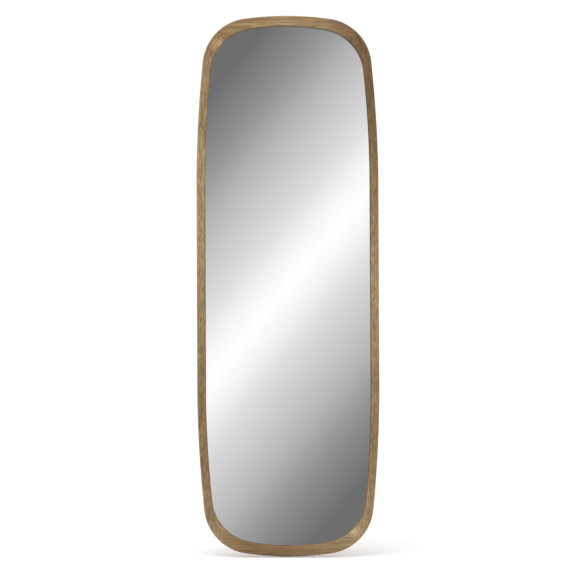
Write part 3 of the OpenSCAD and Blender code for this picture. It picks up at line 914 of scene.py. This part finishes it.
# %% Ribbed rubber
rubber = Finish("ribbed_rubber")
dust = rubber.noise(rubber.mapped((1, 1, 1)), 300.0, 5.0, 0.6)
ribs = rubber.node("ShaderNodeTexWave", Vector=rubber.mapped((0, 0, 1)), Scale=160.0)
ribs.bands_direction = "Z"
rubber.set(Base_Color=rubber.ramp(dust, [(0.35, grey(0.022)), (0.75, grey(0.06))]),
           Roughness=rubber.span(dust, 0.62, 0.85, 0.3, 0.7))
rubber.relief(rubber.combine(ribs.outputs["Fac"], dust), 0.0003, 0.6)
print("made", rubber.material.name)

# %% [markdown]
# ## Felt
#
# The pads are cut from dark wool felt, whose fibres lie every way. Hair particles would be far
# too heavy for pads this small. A very fine, twisted noise gives the fibres, a coarser one the
# tufts, and a little sheen the soft edge that wool shows.

# %% Wool felt
felt = Finish("wool_felt")
hairs = felt.noise(felt.mapped((1, 1, 1)), 1800.0, 5.0, 0.75, 1.5)
tufts = felt.noise(felt.mapped((1, 1, 1)), 350.0, 3.0, 0.6)
wool = felt.ramp(hairs, [(0.3, grey(0.018)), (0.7, grey(0.085))])
wool = felt.tint(wool, felt.ramp(tufts, [(0.3, grey(0.75)), (0.7, grey(1.1))]), 0.8)
felt.set(Base_Color=wool, Roughness=felt.span(hairs, 0.85, 1.0), Sheen_Weight=0.35)
felt.relief(hairs, 0.0006, 0.9)
print("made", felt.material.name)

# %% [markdown]
# ## Clear soft plastic
#
# The two bumpers under the lower rail are clear soft plastic, slightly cloudy inside. Full glass
# would look too hard and bright. A little of the shader's own colour is kept, and the roughness
# wanders with the cloudiness.

# %% Clear soft plastic
clear = Finish("clear_soft_plastic")
cloud = clear.noise(clear.mapped((1, 1, 1)), 220.0, 3.0)
clear.set(Base_Color=clear.ramp(cloud, [(0.3, (0.86, 0.89, 0.90)), (0.7, (0.95, 0.96, 0.97))]),
          Roughness=clear.span(cloud, 0.08, 0.2, 0.3, 0.7), Transmission_Weight=0.85, IOR=1.49)
print("made", clear.material.name)

# %% [markdown]
# ## Cotton webbing
#
# The tape is a plain weave of thick cotton: warp threads along it, weft threads across, each
# passing over and under. Modelling the threads would take more faces than the whole mirror. So
# two wave patterns at right angles, one along each direction of the tape's own UV map, make the
# threads, and a fine noise adds the fuzz.

# %% Woven tape
webbing = Finish("cotton_webbing")
BACK_TO_METRES = (1 / UV_PER_METRE,) * 3
threads = webbing.mapped(BACK_TO_METRES, source="UV")
warp = webbing.node("ShaderNodeTexWave", Vector=threads, Scale=260.0)
warp.bands_direction = "X"
weft = webbing.node("ShaderNodeTexWave", Vector=threads, Scale=200.0)
weft.bands_direction = "Y"
fuzz = webbing.noise(webbing.mapped((1, 1, 1)), 2400.0, 4.0, 0.7)
crossing = webbing.combine(warp.outputs["Fac"], weft.outputs["Fac"], "MULTIPLY")
cotton = webbing.ramp(crossing, [(0.0, tone(168, 158, 132)), (0.35, tone(206, 197, 172)),
                                 (0.8, tone(228, 220, 198))])
cotton = webbing.tint(cotton, webbing.ramp(fuzz, [(0.3, grey(0.84)), (0.7, grey(1.05))]), 0.8)
webbing.set(Base_Color=cotton, Roughness=webbing.span(fuzz, 0.78, 0.95), Sheen_Weight=0.2)
webbing.relief(webbing.combine(crossing, fuzz), 0.0005, 0.8)
print("made", webbing.material.name)

# %% [markdown]
# ## Giving the finishes out
#
# A kept node takes its finish through its own material slots, and its mesh isn't touched. The
# pieces made above have meshes of their own, so theirs is simply added. The list names every
# kept node once, which makes a forgotten one easy to spot.

# %% Which finish each kept node has
KEPT = {
    silver.material: ["mirror_glass"],
    film.material: ["safety_film"],
    foam.material: ["foam_sheet"],
    fibre.material: ["backboard"],
    rubber.material: ["setting_blocks"],
    key_timber: ["mitre_keys"],
    upright_timber: ["left_leg", "right_leg"],
    level_timber: ["easel_top_rail", "easel_middle_rail", "easel_lower_rail", "easel_dowels"],
    batten_timber: ["hinge_batten", "anchor_block"],
    hinge_steel: ["left_batten_leaf", "right_batten_leaf", "left_easel_leaf", "right_easel_leaf"],
    plate_steel: ["anchor_clamp", "rail_clamp", "left_hanger_plate", "right_hanger_plate"],
    ring_steel: ["left_hanging_ring", "right_hanging_ring", "left_hinge_pin", "right_hinge_pin"],
    screw_steel: ["backboard_screws", "batten_screws", "batten_leaf_screws",
                  "anchor_clamp_screws", "hanger_screws", "easel_leaf_screws",
                  "rail_clamp_screws"],
}


# %% Paint the kept nodes and the new pieces
def paint(piece, material):
    """Puts one finish in every material slot of a piece."""
    if not piece.material_slots:
        piece.data.materials.append(material)
    for place in piece.material_slots:
        place.link = "OBJECT"
        place.material = material


for material, names in KEPT.items():
    for name in names:
        paint(NODES[name], material)
MADE = {
    felt.material: [felt_pads],
    clear.material: [clear_bumpers],
    rubber.material: [left_rubber, right_rubber],
    webbing.material: list(strap.values()),
}
for material, pieces in MADE.items():
    for piece in pieces:
        piece.data.materials.append(material)
print("kept nodes with a finish:", sum(len(names) for names in KEPT.values()))

# %% [markdown]
# ## Floor and soft light
#
# A plain pale floor and an even white surround give soft light from all sides, as in a white
# studio. Only the surround would leave the mirror hanging in the air, so the floor takes the
# faint shadow that sets it down. The floor is very wide, so that its far edge never shows.

# %% White surround
SURROUND_LIGHT = 1.15
world = bpy.data.worlds.new("white_surround")
bpy.context.scene.world = world
world.use_nodes = True
background = world.node_tree.nodes["Background"]
background.inputs["Color"].default_value = (1, 1, 1, 1)
background.inputs["Strength"].default_value = SURROUND_LIGHT
print("surround strength:", SURROUND_LIGHT)

# %% Pale floor
FLOOR_SIZE = 400
bpy.ops.object.select_all(action="DESELECT")
bpy.ops.mesh.primitive_plane_add(size=FLOOR_SIZE, location=(0, 0, 0))
floor = bpy.context.object
floor.name = "pale_floor"
pale = Finish("pale_floor")
patches = pale.noise(pale.mapped((1, 1, 1)), 0.8, 3.0)
pale.set(Base_Color=pale.ramp(patches, [(0.3, grey(0.90)), (0.7, grey(0.93))]), Roughness=0.9)
floor.data.materials.append(pale.material)
print("floor width in m:", FLOOR_SIZE)

# %% [markdown]
# ## One wide lamp
#
# Light from all sides alone looks flat. One wide lamp, above and in front, adds a little
# direction, so that the eased edges and the grain show. A small lamp would cut hard shadows. It
# is hidden from reflections, because the mirror would show it as a white square.

# %% A wide lamp above and in front
LAMP_POWER = 90
LAMP_WIDTH, LAMP_LENGTH = 4.0, 3.0
LAMP_PLACE = Vector((-1.6, -3.2, 4.6))
LAMP_AIM = Vector((0, 0, 0.9))
lamp_data = bpy.data.lights.new("wide_lamp", "AREA")
lamp_data.shape = "RECTANGLE"
lamp_data.size = LAMP_WIDTH
lamp_data.size_y = LAMP_LENGTH
lamp_data.energy = LAMP_POWER
lamp = bpy.data.objects.new("wide_lamp", lamp_data)
bpy.context.scene.collection.objects.link(lamp)
lamp.location = LAMP_PLACE
lamp.rotation_mode = "QUATERNION"
lamp.rotation_quaternion = (LAMP_AIM - LAMP_PLACE).to_track_quat("-Z", "Y")
lamp.visible_glossy = False
print("lamp in watts:", lamp_data.energy)

# %% [markdown]
# ## Camera
#
# The view is almost square-on to the leaning mirror, from a little below its normal and a
# little to the left. A near camera would make the top of the leaning frame look narrower than
# its foot. So the camera stands far away with a long lens, which keeps the sides parallel. Its
# place is worked out from the mirror's own directions.

# %% Where the camera stands
DISTANCE = 40.0
VIEW_WIDTH = 1.912
SENSOR = 36
TO_THE_LEFT = math.radians(3.2)
BELOW_NORMAL = math.radians(5.0)
ROLL = math.radians(0.21)
AIM_LEFT = 0.0007
AIM_DOWN = 0.0095
view_az = -TO_THE_LEFT
view_el = LEAN - BELOW_NORMAL
towards = Vector((math.sin(view_az) * math.cos(view_el), -math.cos(view_az) * math.cos(view_el),
                  math.sin(view_el)))
aim = CENTRE - Vector((AIM_LEFT, 0, 0)) - UP * AIM_DOWN

# %% Make the camera
camera_data = bpy.data.cameras.new("camera")
camera_data.sensor_width = SENSOR
camera_data.lens = SENSOR * DISTANCE / VIEW_WIDTH
camera = bpy.data.objects.new("camera", camera_data)
bpy.context.scene.collection.objects.link(camera)
camera.location = aim + towards * DISTANCE
camera.rotation_mode = "QUATERNION"
camera.rotation_quaternion = (-towards).to_track_quat("-Z", "Y")
camera.rotation_quaternion @= Quaternion((0, 0, 1), ROLL)
bpy.context.scene.camera = camera
bpy.context.scene.view_settings.view_transform = "Standard"
print("camera at", [round(c, 2) for c in camera.location])

# %% [markdown]
# ## What the mirror sees
#
# A mirror in a white studio shows only white, which hides the glass. The sweep could be painted
# on the glass, but then it would stay put when the view turns, as no reflection does. A studio
# hangs a graded card where the mirror looks, so that it shows a soft diagonal sweep from light
# to dark. The card here is seen by reflections alone. It hangs parallel to the glass, so a spot
# on the glass sees the spot of the card that lies the same way from its centre, only further out.

# %% Hang the graded card
CARD_AT = 6.0
CARD_SIZE = 5.2
SPREAD = 1 + CARD_AT / DISTANCE
seen = 2 * towards.dot(OUT) * OUT - towards
square_on = Matrix((Vector((1, 0, 0)), UP, OUT)).transposed().to_4x4()
bpy.ops.object.select_all(action="DESELECT")
bpy.ops.mesh.primitive_plane_add(size=CARD_SIZE)
card = bpy.context.object
card.name = "graded_card"
card.matrix_world = Matrix.Translation(CENTRE + seen * CARD_AT) @ square_on
card.visible_camera = False
card.visible_diffuse = False
card.visible_shadow = False
card.visible_transmission = False
print("card at", [round(c, 2) for c in card.matrix_world.translation])

# %% [markdown]
# The card is graded along one slanted line: white on the line through its middle, and darker the
# further a spot lies from it, on both sides. The list gives steps away from the line and the
# tone there. The card glows by itself, so that no lamp has to light it.

# %% Grade it from a light band to dark ends
SWEEP = [(0, 254), (18, 246), (30, 237), (40, 226), (56, 214), (75, 202), (90, 191), (105, 180),
         (127, 156), (142, 142), (158, 130), (183, 110)]
SWEEP_STEPS = 200
SWEEP_TURN = math.radians(40)
STEP = 0.003328 * SPREAD
MIRROR_LOSS = 0.93
graded = Finish("graded_card")
graded.tree.nodes.remove(graded.shader)
tilt = graded.node("ShaderNodeMapping", Vector=graded.coords.outputs["Object"])
tilt.inputs["Rotation"].default_value = (0, 0, SWEEP_TURN)
slanted = graded.node("ShaderNodeSeparateXYZ", Vector=tilt.outputs["Vector"])
away = graded.combine(slanted.outputs["X"], 0.0, "ABSOLUTE")
share = graded.span(away, 0.0, 1.0, 0.0, SWEEP_STEPS * STEP)
tones = graded.ramp(share, [(d / SWEEP_STEPS, tone(v, v, v)) for d, v in SWEEP])
glow = graded.node("ShaderNodeEmission", Color=tones, Strength=1 / MIRROR_LOSS)
surface = graded.tree.nodes["Material Output"].inputs["Surface"]
graded.feed(surface, glow.outputs["Emission"])
card.data.materials.append(graded.material)
print("tones on the card:", len(SWEEP))
